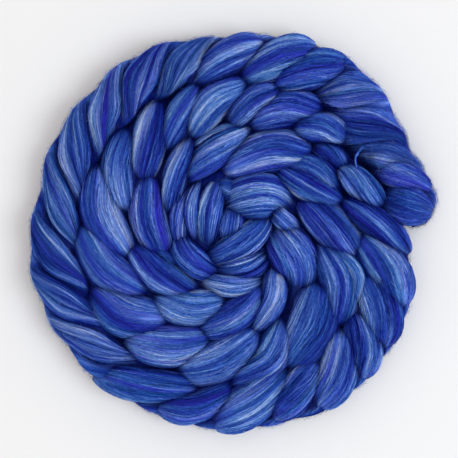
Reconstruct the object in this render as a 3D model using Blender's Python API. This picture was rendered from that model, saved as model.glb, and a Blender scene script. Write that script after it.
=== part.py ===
"""A hand-twisted length of combed wool top, coiled flat from its loose tail to its heart.

The top is doubled and its two plies are twisted round each other into a soft rope. The rope lies on
its side in a close spiral. Each place where a ply crosses the rope's upper side is a lobe, and the
lobes of both plies follow each other along the rope. Between them runs a groove, one each side of
the rope, which turns with the twist.

Lengths are millimetres until the mesh is made, angles in the table are degrees.
"""

import math

import bmesh
import bpy
import numpy as np

MM = 0.001

# The coil lies on z = 0 with the middle of its box at the origin. The spiral turns about COIL_CENTRE.
COIL_CENTRE = (8.7, -7.4)
ROPE_RISE = 27.0  # height of the rope over the table
ROPE_AXIS_HEIGHT = 12.4  # the rope's own axis, under its half height, so that its underside lies flat
TURN_GAP = 0.9  # left between neighbouring turns of the spiral
FULL_TURN = 360.0

# The two plies are pressed to halves of a soft round, with a groove between them on each side.
GROOVE_DEPTH = 0.42  # as a share of the rope's radius, on its upper side
GROOVE_DEPTH_UNDER = 0.10  # the underside is pressed flat, and its grooves nearly close
GROOVE_SHARPNESS = 2.2
SIDE_FILL = 1.2  # the plies swell this far over their own half, until the next turn stops them
STOP_HARDNESS = 8  # how sharply a neighbour stops them
SQUARENESS = 0.95  # under 1, the section fills its corners

# How far the twist leans on top of the rope: what the phase gains from the rope's middle to its inner
# side, and loses to its outer side.
SLIPS = (
    # lobe, slip
    (0.0, 0.90),
    (3.0, 0.75),
    (5.0, 0.55),
    (57.0, 0.55),
    (60.0, 0.00),
)

# How deep the grooves are at a lobe, as a share of GROOVE_DEPTH. The tail's twist is slack.
GROOVE_SHARES = (
    # lobe, share
    (0.0, 0.25),
    (3.0, 0.35),
    (4.5, 0.80),
    (9.0, 0.80),
    (10.5, 0.65),
    (15.0, 0.70),
    (16.5, 1.00),
)

# Where a lobe reaches the rope's side, the side bulges, and presses into the turn beside it.
BULGE = 1.2
BULGE_OUTSIDE = 1.6  # the share of it on the coil's rim, where nothing holds it back
BULGE_FADES_DEG = (1300.0, 1500.0)  # near the heart the turns are too tight for it

# The rope from its loose tail, where the two ends of the top lie, to its heart, where it is folded.
TAIL_DEG = 5.5
TAIL_EDGE = 122.0
TAIL_ROUND_DEG = 9.0  # the tail's end closes over this angle
HEART_DEG = 1690.0
HEART_ROUND_DEG = 120.0
HEART_EYE = (-17.8, -1.3)  # from COIL_CENTRE, where the last turn closes on itself
EYE_RADIUS = 0.7

# One row for each lobe, from the tail inwards.
#   turn_deg  how far round the spiral the lobe's crest lies, counter-clockwise from +X
#   edge      from COIL_CENTRE to the rope's outer edge there
#   fullness  how far the lobe swells, where 1 is the even ply
LOBES = (
    # the outer turn
    (12.0, 127.5, 0.92),
    (22.0, 125.5, 0.96),
    (32.0, 124.5, 0.92),
    (44.0, 131.0, 0.90),
    (58.5, 137.5, 1.04),
    (70.0, 138.0, 1.00),
    (82.0, 137.5, 1.06),
    (96.0, 136.5, 1.00),
    (109.0, 140.5, 0.94),
    (123.0, 144.0, 1.06),
    (137.0, 143.0, 1.00),
    (152.0, 144.0, 1.04),
    (168.0, 141.0, 0.94),
    (184.0, 143.0, 1.02),
    (198.0, 140.5, 1.04),
    (213.0, 136.0, 0.94),
    (233.0, 129.0, 1.02),
    (253.0, 125.5, 1.06),
    (272.0, 121.5, 1.08),
    (288.0, 121.5, 0.90),
    (305.0, 120.0, 1.10),
    (319.5, 117.5, 0.96),
    (334.5, 115.5, 0.98),
    (350.0, 109.0, 1.02),
    # the second turn, which starts under the tail
    (369.0, 97.0, 0.96),
    (387.0, 92.5, 1.00),
    (407.0, 89.5, 0.72),
    (420.5, 102.5, 1.04),
    (434.75, 105.0, 1.00),
    (450.0, 107.0, 1.02),
    (464.75, 110.0, 1.10),
    (479.5, 111.5, 0.90),
    (496.0, 112.5, 1.08),
    (513.5, 113.0, 1.00),
    (533.0, 111.0, 1.04),
    (552.5, 109.5, 1.06),
    (573.5, 107.5, 1.00),
    (597.0, 99.0, 1.04),
    (624.0, 93.5, 1.04),
    (642.0, 89.0, 0.90),
    (672.0, 84.0, 1.10),
    (695.0, 80.0, 1.04),
    (712.0, 75.0, 0.94),
    # the third turn
    (729.0, 72.0, 1.06),
    (765.0, 71.5, 0.96),
    (801.0, 78.0, 1.00),
    (830.5, 80.5, 1.02),
    (860.0, 80.5, 0.98),
    (886.0, 78.5, 1.06),
    (919.5, 76.0, 0.96),
    (948.0, 69.5, 1.04),
    (983.0, 61.5, 0.98),
    (1013.0, 54.0, 0.96),
    (1065.0, 47.0, 1.14),
    # the fourth turn
    (1108.0, 40.5, 0.86),
    (1160.0, 47.0, 1.12),
    (1227.0, 53.5, 1.00),
    (1280.0, 47.5, 0.94),
    (1333.0, 37.5, 0.96),
    # the heart
    (1425.0, 17.0, 0.96),
    (1510.0, 15.5, 1.00),
    (1597.0, 21.7, 0.94),
    (1655.0, 25.5, 0.84),
)

# Past the rope's end the fourth turn's inner edge closes on the eye.
CLOSING_DEG = (1693.0, 1760.0)
CLOSING_EDGE = 22.0

# Mesh: each lobe is cut into rings along the rope, and each ring has a corner in both grooves.
RINGS_PER_LOBE = 6
CORNERS_PER_PLY = 7

WOOL_BLUE = (0.045, 0.095, 0.42, 1.0)
WOOL_ROUGHNESS = 0.85


def smooth_curve(knots, values, at):
    """The smooth curve through the knots, straight on past its ends."""
    knots = np.asarray(knots, float)
    values = np.asarray(values, float)
    at = np.asarray(at, float)
    spans = np.diff(knots)
    rises = np.diff(values) / spans
    slopes = np.empty_like(values)
    slopes[1:-1] = (rises[:-1] * spans[1:] + rises[1:] * spans[:-1]) / (spans[1:] + spans[:-1])
    slopes[0], slopes[-1] = rises[0], rises[-1]
    k = np.clip(np.searchsorted(knots, at) - 1, 0, len(spans) - 1)
    t = (at - knots[k]) / spans[k]
    u = np.clip(t, 0.0, 1.0)
    inside = (
        (1 + 2 * u) * (1 - u) ** 2 * values[k]
        + u * (1 - u) ** 2 * spans[k] * slopes[k]
        + u**2 * (3 - 2 * u) * values[k + 1]
        + u**2 * (u - 1) * spans[k] * slopes[k + 1]
    )
    before = np.minimum(t, 0.0) * spans[k] * slopes[k]
    after = np.maximum(t - 1.0, 0.0) * spans[k] * slopes[k + 1]
    return inside + before + after


TURN_DEG, EDGE, FULLNESS = (np.array(column) for column in zip(*LOBES))


def turn_at_phase(phase):
    """Where on the spiral the twist has turned that far. The ply on top changes with each pi."""
    return smooth_curve(np.arange(len(LOBES)) * math.pi, TURN_DEG, phase)


def phase_at_turn(turn_deg):
    """The twist at a place on the spiral: i * pi at the crest of lobe i."""
    return smooth_curve(TURN_DEG, np.arange(len(LOBES)) * math.pi, turn_deg)


def outward(turn_deg):
    angle = np.radians(turn_deg)
    return np.stack([np.cos(angle), np.sin(angle)], axis=-1)


def slip(phase):
    lobes, slips = zip(*SLIPS)
    return np.interp(phase / math.pi, lobes, slips)


def bulge(turn_deg):
    """How far the rope's outer side presses into the turn beyond it, or gives way to that turn."""
    phase = phase_at_turn(turn_deg)
    phase_beyond = phase_at_turn(turn_deg - FULL_TURN)
    own = np.sin(phase + slip(phase)) ** 2
    beyond = np.sin(phase_beyond - slip(phase_beyond)) ** 2
    pressed = np.clip((turn_deg - FULL_TURN - TAIL_DEG) / TAIL_ROUND_DEG, 0.0, 1.0)
    start, end = BULGE_FADES_DEG
    fade = np.clip((end - turn_deg) / (end - start), 0.0, 1.0)
    return BULGE * fade * (pressed * (own - beyond) + (1 - pressed) * BULGE_OUTSIDE * (own - 0.5))


def outer_edge(turn_deg):
    """The spiral that parts the turns: the rope's outer edge, and one turn on its inner edge."""
    closing_deg, closed_deg = CLOSING_DEG
    open_deg = np.minimum(turn_deg, closing_deg)
    knots = [TAIL_DEG, *TURN_DEG, closing_deg]
    radii = [TAIL_EDGE, *EDGE, CLOSING_EDGE]
    reach = smooth_curve(knots, radii, open_deg) + bulge(open_deg)
    spiral = reach[..., None] * outward(open_deg)
    eye = np.array(HEART_EYE) + EYE_RADIUS * outward(turn_deg)
    closed = np.clip((turn_deg - closing_deg) / (closed_deg - closing_deg), 0.0, 1.0)[..., None]
    closed = closed**2 * (3 - 2 * closed)
    return spiral * (1 - closed) + eye * closed


def end_size(turn_deg):
    """1 along the rope, falling to 0 in a round nose at the tail and at the heart."""
    tail = np.clip((turn_deg - TAIL_DEG) / TAIL_ROUND_DEG, 0.0, 1.0)
    heart = np.clip((HEART_DEG - turn_deg) / HEART_ROUND_DEG, 0.0, 1.0)
    return np.sqrt(tail * (2 - tail)) * np.sqrt(heart * (2 - heart))


def groove_depth(phase, round_rope):
    """Deep on the rope's upper side and shallow at its sides, under it and along the slack tail."""
    upper = np.clip(0.1 + 1.5 * np.cos(round_rope), 0.0, 1.0)
    depth = GROOVE_DEPTH_UNDER + (GROOVE_DEPTH - GROOVE_DEPTH_UNDER) * upper
    lobes, shares = zip(*GROOVE_SHARES)
    return depth * np.interp(phase / math.pi, lobes, shares)


def rounded(share):
    """A sine or cosine of the section, filled out towards its corners."""
    return np.sign(share) * np.abs(share) ** SQUARENESS


def lobe_fullness(lobe, round_rope):
    """A lobe's own swell on the upper side, fading to the even ply on the underside."""
    own = FULLNESS[np.clip(lobe, 0, len(LOBES) - 1)]
    upper = np.cos(round_rope / 2) ** 2
    return 1 + (own - 1) * upper


def rope_points(phase, off_crest, ply):
    """Points on a ply: phase along the twist, off_crest radians from the ply's crest line."""
    turned = phase + ply * math.pi + off_crest
    round_rope = (turned + math.pi) % (2 * math.pi) - math.pi  # 0 on top, + towards the coil's middle
    lobe = np.rint((phase + off_crest - round_rope) / math.pi).astype(int)
    size = end_size(turn_at_phase(phase))
    turn_deg = turn_at_phase(phase + slip(phase) * np.sin(round_rope) * size**2)
    outer = outer_edge(turn_deg)
    inner = outer_edge(turn_deg + FULL_TURN)
    across = outer - inner
    width = np.linalg.norm(across, axis=-1)
    across = across / width[..., None]
    groove = (1 - np.abs(np.cos(off_crest))) ** GROOVE_SHARPNESS
    swell = lobe_fullness(lobe, round_rope) * (1 - groove_depth(phase, round_rope) * groove)
    aside, upright = rounded(np.sin(round_rope)), rounded(np.cos(round_rope))
    reach = SIDE_FILL * swell * aside
    reach = reach / (1 + np.abs(reach) ** STOP_HARDNESS) ** (1 / STOP_HARDNESS)
    sideways = (width - TURN_GAP) / 2 * size * reach
    middle = (outer + inner) / 2
    flat = middle - across * sideways[..., None] + np.array(COIL_CENTRE)
    half_height = ROPE_RISE - ROPE_AXIS_HEIGHT
    height = ROPE_AXIS_HEIGHT + half_height * size * swell * upright
    return np.concatenate([flat, np.maximum(height, 0.0)[..., None]], axis=-1)


def rope_rings():
    """Rings of points round the rope, each turned on with the twist, so that edges follow the plies."""
    first = float(phase_at_turn(np.array(TAIL_DEG)))
    last = float(phase_at_turn(np.array(HEART_DEG)))
    count = round((last - first) / math.pi * RINGS_PER_LOBE)
    phases = np.linspace(first, last, count + 1)[1:-1]
    step = math.pi / CORNERS_PER_PLY
    off_crest = -math.pi / 2 + step * np.arange(CORNERS_PER_PLY)
    plies = [rope_points(*np.meshgrid(phases, off_crest, indexing="ij"), ply) for ply in (0, 1)]
    return np.concatenate(plies, axis=1)


def end_point(turn_deg):
    """The tip of the rope's nose."""
    turn = np.array(turn_deg)
    middle = (outer_edge(turn) + outer_edge(turn + FULL_TURN)) / 2 + np.array(COIL_CENTRE)
    return (middle[0], middle[1], ROPE_AXIS_HEIGHT)


def roving_mesh():
    """The closed skin of the coiled rope."""
    rings = rope_rings() * MM
    shape = bmesh.new()
    rows = [[shape.verts.new(point) for point in ring] for ring in rings]
    corners = len(rows[0])
    for row, following in zip(rows, rows[1:]):
        for j in range(corners):
            k = (j + 1) % corners
            shape.faces.new((row[j], row[k], following[j]))
            shape.faces.new((row[k], following[k], following[j]))
    for row, tip_deg in ((rows[0], TAIL_DEG), (rows[-1], HEART_DEG)):
        tip = shape.verts.new([MM * x for x in end_point(tip_deg)])
        for j in range(corners):
            k = (j + 1) % corners
            shape.faces.new((row[j], row[k], tip))
    bmesh.ops.recalc_face_normals(shape, faces=shape.faces)
    mesh = bpy.data.meshes.new("roving_coil")
    shape.to_mesh(mesh)
    shape.free()
    return mesh


def wool_material():
    material = bpy.data.materials.new("wool")
    material.use_nodes = True
    shader = material.node_tree.nodes["Principled BSDF"]
    shader.inputs["Base Color"].default_value = WOOL_BLUE
    shader.inputs["Roughness"].default_value = WOOL_ROUGHNESS
    shader.inputs["Metallic"].default_value = 0.0
    return material


def main():
    for old in list(bpy.data.objects):
        bpy.data.objects.remove(old)
    roving = bpy.data.objects.new("roving_coil", roving_mesh())
    roving.data.materials.append(wool_material())
    roving.data.shade_smooth()
    bpy.context.scene.collection.objects.link(roving)


main()
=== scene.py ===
"""The looks of a hand-twisted length of combed wool, coiled flat.

The coil's skin follows rope_points, the rule that shapes the solid: two plies twisted into a rope, and
the rope laid in a spiral. Here the turns are pressed closer and the grooves are deeper. A place on the
rope is given by phase (how far the twist has turned, one pi for each lobe), by off_crest (the angle
across a ply from its crest line) and by ply (0 or 1).

Lobes that lie proud of that form are laid on it as pointed ovals (PETALS), and so are the loose bundles
of the heart and the tail (LEAVES). Locks, single fibres and fuzz lie on all of them. A place on the
fibres is given by lobe (the number of a lobe or bundle), by t (0 at its outer end, 1 at its inner end)
and by share (across it, from -1 to 1, where + is towards the tail).

Lengths are millimetres until a mesh is made.
"""

import math

import bpy
import mathutils
import numpy as np
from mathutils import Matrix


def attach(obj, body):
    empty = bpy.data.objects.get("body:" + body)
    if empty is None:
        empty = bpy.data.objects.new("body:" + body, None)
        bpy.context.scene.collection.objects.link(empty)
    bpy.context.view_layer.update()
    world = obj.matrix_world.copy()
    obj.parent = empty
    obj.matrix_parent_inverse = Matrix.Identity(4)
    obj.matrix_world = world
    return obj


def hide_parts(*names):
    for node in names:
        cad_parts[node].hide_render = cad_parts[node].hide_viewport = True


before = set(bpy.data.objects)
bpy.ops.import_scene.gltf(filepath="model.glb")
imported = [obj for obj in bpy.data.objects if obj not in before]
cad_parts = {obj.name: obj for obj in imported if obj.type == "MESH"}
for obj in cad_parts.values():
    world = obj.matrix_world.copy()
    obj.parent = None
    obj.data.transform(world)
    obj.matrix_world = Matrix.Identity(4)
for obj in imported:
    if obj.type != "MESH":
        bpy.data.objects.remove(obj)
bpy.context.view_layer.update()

MM = 0.001
RNG = np.random.default_rng(20)

# ---- the rope

COIL_CENTRE = (8.7, -7.4)
ROPE_RISE = 27.0  # height of the rope over the floor
ROPE_AXIS_HEIGHT = 12.4
PRESSED_IN = 2.6  # neighbouring turns are pressed this far into each other, so that no light shows
FULL_TURN = 360.0

GROOVE_DEPTH = 0.42  # as a share of the rope's radius, on its upper side
GROOVE_DEPTH_UNDER = 0.10
UPPER_SIDE = (0.1, 1.5)  # of the full depth: at the rope's side, and what is added towards its top
GROOVE_SHARPNESS = 2.2
SIDE_FILL = 1.2  # the plies swell this far over their own half, until the next turn stops them
STOP_HARDNESS = 8
SQUARENESS = 0.95  # under 1, the section fills its corners

# Where a lobe reaches the rope's side, the side bulges, and presses into the turn beside it.
BULGE = 1.2
BULGE_OUTSIDE = 1.6  # the share of it on the coil's rim
BULGE_FADES_DEG = (1300.0, 1500.0)

# The rope from its loose tail to its heart, in degrees round the spiral.
TAIL_DEG = 5.5
HEART_DEG = 1690.0
TAIL_ROUND_DEG = 9.0  # the tail's end closes over this angle
HEART_ROUND_DEG = 120.0
TAIL_EDGE = 122.0  # from COIL_CENTRE
HEART_EYE = (-17.8, -1.3)  # from COIL_CENTRE, where the last turn closes on itself
EYE_RADIUS = 0.7
CLOSING_DEG = (1693.0, 1760.0)
CLOSING_EDGE = 22.0

# How far the twist leans on top of the rope: what the phase gains from the rope's middle to its inner
# side, and loses to its outer side. Rows of lobe and slip.
SLIPS = ((0, 0.90), (3, 0.75), (5, 0.55), (57, 0.55), (60, 0.00))

# How deep the grooves are at a lobe, as a share of the depths above. The tail's twist is slack.
GROOVE_SHARES = ((0, 0.25), (3, 0.35), (4.5, 0.80), (8, 1.00))

# How much of its height the rope's skin keeps, by turn_deg: it lies low under the lobes laid on it.
SINKS = (
    (5, 0.35), (14, 0.50), (32, 1.00), (58, 1.00), (66, 0.60), (98, 0.60), (106, 1.00), (221, 1.00),
    (234, 0.60),
)

# The tail lies off the second turn: its inner side falls away there.
RECESS = 0.7
RECESS_REACH = (0.45, 0.95)
RECESS_FADES_DEG = (40.0, 52.0)

# For each lobe, from the tail inwards:
#   turn_deg  how far round the spiral the lobe's crest lies, counter-clockwise from +X
#   edge      from COIL_CENTRE to the rope's outer edge there
#   fullness  how far the lobe swells, where 1 is the even ply
LOBES = (
    # the outer turn
    (12, 127.5, 0.92), (22, 125.5, 0.96), (32, 124.5, 0.92), (44, 131, 0.9), (58.5, 137.5, 1.04),
    (70, 138, 1), (82, 137.5, 1.06), (96, 136.5, 1), (109, 140.5, 0.94), (123, 144, 1.06), (137, 143, 1),
    (152, 144, 1.04), (168, 141, 0.94), (184, 143, 1.02), (198, 140.5, 1.04), (213, 136, 0.94),
    (233, 129, 1.02), (253, 125.5, 1.06), (272, 121.5, 1.08), (288, 121.5, 0.9), (305, 120, 1.1),
    (319.5, 117.5, 0.96), (334.5, 115.5, 0.98), (350, 109, 1.02),
    # the second turn, which starts under the tail
    (369, 97, 0.96), (387, 92.5, 1), (407, 89.5, 0.72), (420.5, 102.5, 1.04), (434.75, 105, 1),
    (450, 107, 1.02), (464.75, 110, 1.1), (479.5, 111.5, 0.9), (496, 112.5, 1.08), (513.5, 113, 1),
    (533, 111, 1.04), (552.5, 109.5, 1.06), (573.5, 107.5, 1), (597, 99, 1.04), (624, 93.5, 1.04),
    (642, 89, 0.9), (672, 84, 1.1), (695, 80, 1.04), (712, 75, 0.94),
    # the third turn
    (729, 72, 1.06), (765, 71.5, 0.96), (801, 78, 1), (830.5, 80.5, 1.02), (860, 80.5, 0.98),
    (886, 78.5, 1.06), (919.5, 76, 0.96), (948, 69.5, 1.04), (983, 61.5, 0.98), (1013, 54, 0.96),
    (1065, 47, 1.14),
    # the fourth turn
    (1108, 40.5, 0.86), (1160, 47, 1.12), (1227, 53.5, 1), (1280, 47.5, 0.94), (1333, 37.5, 0.96),
    # the heart
    (1425, 17, 0.96), (1510, 15.5, 1), (1597, 21.7, 0.94), (1655, 25.5, 0.84),
)


def smooth_curve(knots, values, at):
    """The smooth curve through the knots, straight on past its ends."""
    knots = np.asarray(knots, float)
    values = np.asarray(values, float)
    at = np.asarray(at, float)
    spans = np.diff(knots)
    rises = np.diff(values) / spans
    slopes = np.empty_like(values)
    slopes[1:-1] = (rises[:-1] * spans[1:] + rises[1:] * spans[:-1]) / (spans[1:] + spans[:-1])
    slopes[0], slopes[-1] = rises[0], rises[-1]
    k = np.clip(np.searchsorted(knots, at) - 1, 0, len(spans) - 1)
    t = (at - knots[k]) / spans[k]
    u = np.clip(t, 0.0, 1.0)
    inside = (
        (1 + 2 * u) * (1 - u) ** 2 * values[k]
        + u * (1 - u) ** 2 * spans[k] * slopes[k]
        + u**2 * (3 - 2 * u) * values[k + 1]
        + u**2 * (u - 1) * spans[k] * slopes[k + 1]
    )
    before = np.minimum(t, 0.0) * spans[k] * slopes[k]
    after = np.maximum(t - 1.0, 0.0) * spans[k] * slopes[k + 1]
    return inside + before + after


TURN_DEG, EDGE, FULLNESS = (np.array(column) for column in zip(*LOBES))
CREST_PHASE = np.arange(len(LOBES)) * math.pi


def turn_at_phase(phase):
    return smooth_curve(CREST_PHASE, TURN_DEG, phase)


def phase_at_turn(turn_deg):
    return smooth_curve(TURN_DEG, CREST_PHASE, turn_deg)


PHASE_RANGE = (float(phase_at_turn(TAIL_DEG)), float(phase_at_turn(HEART_DEG)))


def ramp(start, end, value):
    """0 at start, 1 at end, and smooth between."""
    t = np.clip((value - start) / (end - start), 0.0, 1.0)
    return t * t * (3 - 2 * t)


def outward(turn_deg):
    angle = np.radians(turn_deg)
    return np.stack([np.cos(angle), np.sin(angle)], axis=-1)


def pressed(turn_deg):
    """0 on the coil's rim and 1 where another turn lies outside this one."""
    return np.clip((turn_deg - FULL_TURN - TAIL_DEG) / TAIL_ROUND_DEG, 0.0, 1.0)


def read_between(rows, at):
    """What a table of places and values says at a place, straight between its rows."""
    places, values = zip(*rows)
    return np.interp(at, places, values)


def slip(phase):
    return read_between(SLIPS, phase / math.pi)


def bulge(turn_deg):
    """How far the rope's outer side presses into the turn beyond it, or gives way to that turn."""
    phase = phase_at_turn(turn_deg)
    phase_beyond = phase_at_turn(turn_deg - FULL_TURN)
    own = np.sin(phase + slip(phase)) ** 2
    beyond = np.sin(phase_beyond - slip(phase_beyond)) ** 2
    share = pressed(turn_deg)
    start, end = BULGE_FADES_DEG
    fade = np.clip((end - turn_deg) / (end - start), 0.0, 1.0)
    return BULGE * fade * (share * (own - beyond) + (1 - share) * BULGE_OUTSIDE * (own - 0.5))


def outer_edge(turn_deg):
    """The spiral that parts the turns: the rope's outer edge, and one turn on its inner edge."""
    closing_deg, closed_deg = CLOSING_DEG
    open_deg = np.minimum(turn_deg, closing_deg)
    knots = [TAIL_DEG, *TURN_DEG, closing_deg]
    radii = [TAIL_EDGE, *EDGE, CLOSING_EDGE]
    reach = smooth_curve(knots, radii, open_deg) + bulge(open_deg)
    spiral = reach[..., None] * outward(open_deg)
    eye = np.array(HEART_EYE) + EYE_RADIUS * outward(turn_deg)
    closed = ramp(closing_deg, closed_deg, turn_deg)[..., None]
    return spiral * (1 - closed) + eye * closed


def end_size(turn_deg):
    """1 along the rope, falling to 0 in a round nose at the tail and at the heart."""
    tail = np.clip((turn_deg - TAIL_DEG) / TAIL_ROUND_DEG, 0.0, 1.0)
    heart = np.clip((HEART_DEG - turn_deg) / HEART_ROUND_DEG, 0.0, 1.0)
    return np.sqrt(tail * (2 - tail)) * np.sqrt(heart * (2 - heart))


def groove_share(phase):
    return read_between(GROOVE_SHARES, phase / math.pi)


def groove_depth(phase, round_rope):
    """Deep on the rope's upper side and shallow under it and along the slack tail."""
    at_side, more_on_top = UPPER_SIDE
    upper = np.clip(at_side + more_on_top * np.cos(round_rope), 0.0, 1.0)
    depth = GROOVE_DEPTH_UNDER + (GROOVE_DEPTH - GROOVE_DEPTH_UNDER) * upper
    return depth * groove_share(phase)


def rounded(share):
    return np.sign(share) * np.abs(share) ** SQUARENESS


def lobe_fullness(lobe, round_rope):
    own = FULLNESS[np.clip(lobe, 0, len(LOBES) - 1).astype(int)]
    return 1 + (own - 1) * np.cos(round_rope / 2) ** 2


def round_the_rope(phase, off_crest, ply):
    """The angle round the rope: 0 on top, + towards the coil's middle."""
    turned = phase + ply * math.pi + off_crest
    return (turned + math.pi) % (2 * math.pi) - math.pi


def capped(reach):
    """A reach across the rope, held back at the rope's sides."""
    return reach / (1 + np.abs(reach) ** STOP_HARDNESS) ** (1 / STOP_HARDNESS)


def uncapped(reach):
    """capped() the other way round."""
    return reach / (1 - np.abs(reach) ** STOP_HARDNESS) ** (1 / STOP_HARDNESS)


def swell(lobe, phase, off_crest, round_rope):
    """The rope's radius there, as a share of its even radius."""
    groove = (1 - np.abs(np.cos(off_crest))) ** GROOVE_SHARPNESS
    return lobe_fullness(lobe, round_rope) * (1 - groove_depth(phase, round_rope) * groove)


def leaned(phase, round_rope):
    """How far the twist's lean carries a place on the skin along the rope, as a phase."""
    return slip(phase) * np.sin(round_rope) * end_size(turn_at_phase(phase)) ** 2


def rope_place(phase, off_crest, ply):
    """The lobe, the angle round the rope, and in plan the phase and the reach across."""
    round_rope = round_the_rope(phase, off_crest, ply)
    lobe = np.rint((phase + off_crest - round_rope) / math.pi).astype(int)
    reach = SIDE_FILL * swell(lobe, phase, off_crest, round_rope) * rounded(np.sin(round_rope))
    return lobe, round_rope, phase + leaned(phase, round_rope), capped(reach)


def in_plan(plan_phase, reach):
    """A place on the coil seen from above. reach is -1 on the turn's outer side and 1 on its inner side."""
    turn_deg = turn_at_phase(plan_phase)
    outer = outer_edge(turn_deg)
    inner = outer_edge(turn_deg + FULL_TURN)
    pressed_in = 1 + PRESSED_IN / np.linalg.norm(outer - inner, axis=-1)
    across = (outer - inner) / 2 * (reach * pressed_in)[..., None]
    return (outer + inner) / 2 - across + np.array(COIL_CENTRE)


def rope_points(phase, off_crest, ply):
    """Points on the plain skin of a ply."""
    phase = np.clip(phase, *PHASE_RANGE)
    lobe, round_rope, plan_phase, reach = rope_place(phase, off_crest, ply)
    size = end_size(turn_at_phase(phase))
    flat = in_plan(plan_phase, size * reach)
    half_height = (ROPE_RISE - ROPE_AXIS_HEIGHT) * swell(lobe, phase, off_crest, round_rope)
    height = ROPE_AXIS_HEIGHT + half_height * size * rounded(np.cos(round_rope))
    turn_deg = turn_at_phase(plan_phase)
    recess = RECESS * ramp(*RECESS_REACH, reach) * (1 - ramp(*RECESS_FADES_DEG, turn_deg))
    height = height * read_between(SINKS, turn_deg) * (1 - recess)
    return np.concatenate([flat, np.maximum(height, 0.0)[..., None]], axis=-1)


STEP = 0.01  # along or round a surface, between the places that its directions are found from
ROPE_STEP = 0.03


def unit(vectors):
    return vectors / np.maximum(np.linalg.norm(vectors, axis=-1, keepdims=True), 1e-9)


def skin_of(points_at, along, around, step=STEP):
    """Points of a surface, with the way across the fibres and the way out of the skin at each."""
    ahead = points_at(along + step, around) - points_at(along - step, around)
    aside = points_at(along, around + step) - points_at(along, around - step)
    return points_at(along, around), unit(aside), unit(np.cross(ahead, aside))


def rope_skin(phase, off_crest, ply):
    return skin_of(lambda p, c: rope_points(p, c, ply), phase, off_crest, ROPE_STEP)


# ---- grain of the wool


GRAIN_CELLS = 512  # each way, before it repeats


def grain(seed, strength, across, along, start, lobe_step):
    """A smooth random height up to strength, as a function of lobe, t and share.

    across and along say how fine it is. start and lobe_step are where in its plane the lobes lie.
    """
    size = GRAIN_CELLS
    heights = np.random.default_rng(seed).uniform(-1.0, 1.0, (size, size))

    def height(lobe, t, share):
        x = share * across + start
        y = lobe * lobe_step + t * along
        left, low = np.floor(x).astype(int), np.floor(y).astype(int)
        right, high = left + 1, low + 1
        u, v = x - left, y - low
        u, v = u * u * (3 - 2 * u), v * v * (3 - 2 * v)
        a = heights[left % size, low % size] * (1 - u) + heights[right % size, low % size] * u
        b = heights[left % size, high % size] * (1 - u) + heights[right % size, high % size] * u
        return strength * (a * (1 - v) + b * v)

    return height


BUNDLES = grain(1, 1.0, 2.2, 0.9, 30.0, 9.7)
LOCKS = grain(2, 1.0, 7.0, 1.3, 60.0, 9.7)
TONE_WIDE = grain(3, 0.21, 2.2, 0.9, 90.0, 7.3)
TONE_MIDDLE = grain(4, 0.25, 5.0, 1.5, 50.0, 7.3)
TONE_FINE = grain(5, 0.16, 19.0, 2.2, 120.0, 7.3)
FADING = grain(3, 0.6, 3.0, 2.0, 200.0, 7.3)  # along the streaks
VIOLET = grain(6, 1.0, 5.0, 0.7, 150.0, 5.1)
HUE_WIDE = grain(7, 0.8, 1.7, 0.5, 180.0, 3.3)
HUE_NARROW = grain(7, 0.8, 9.0, 0.6, 210.0, 2.1)

BUNDLE_RELIEF = 1.4
LOCK_RELIEF = 0.5
VALLEY_SHAPE = (2.6, 1.6)  # how narrow and how sharp the valleys between bundles are
FURROW_SHAPE = (2.4, 1.4)
MEAN_TONE = 0.485
# painted shade at a lobe's ends, where they dip under the lobes beside them
SHADED_ENDS = 0.06
SHADED_END_REACH = (0.2, 0.45)  # from a lobe's middle, as a share of its length
MEAN_FADING = 0.9
VIOLET_PATCHES = 0.45
PATCH_HEIGHTS = (0.3, 0.95)  # of its grain, where the wool begins to turn violet and where it is
HUE_LIMIT = 1.2
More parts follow.
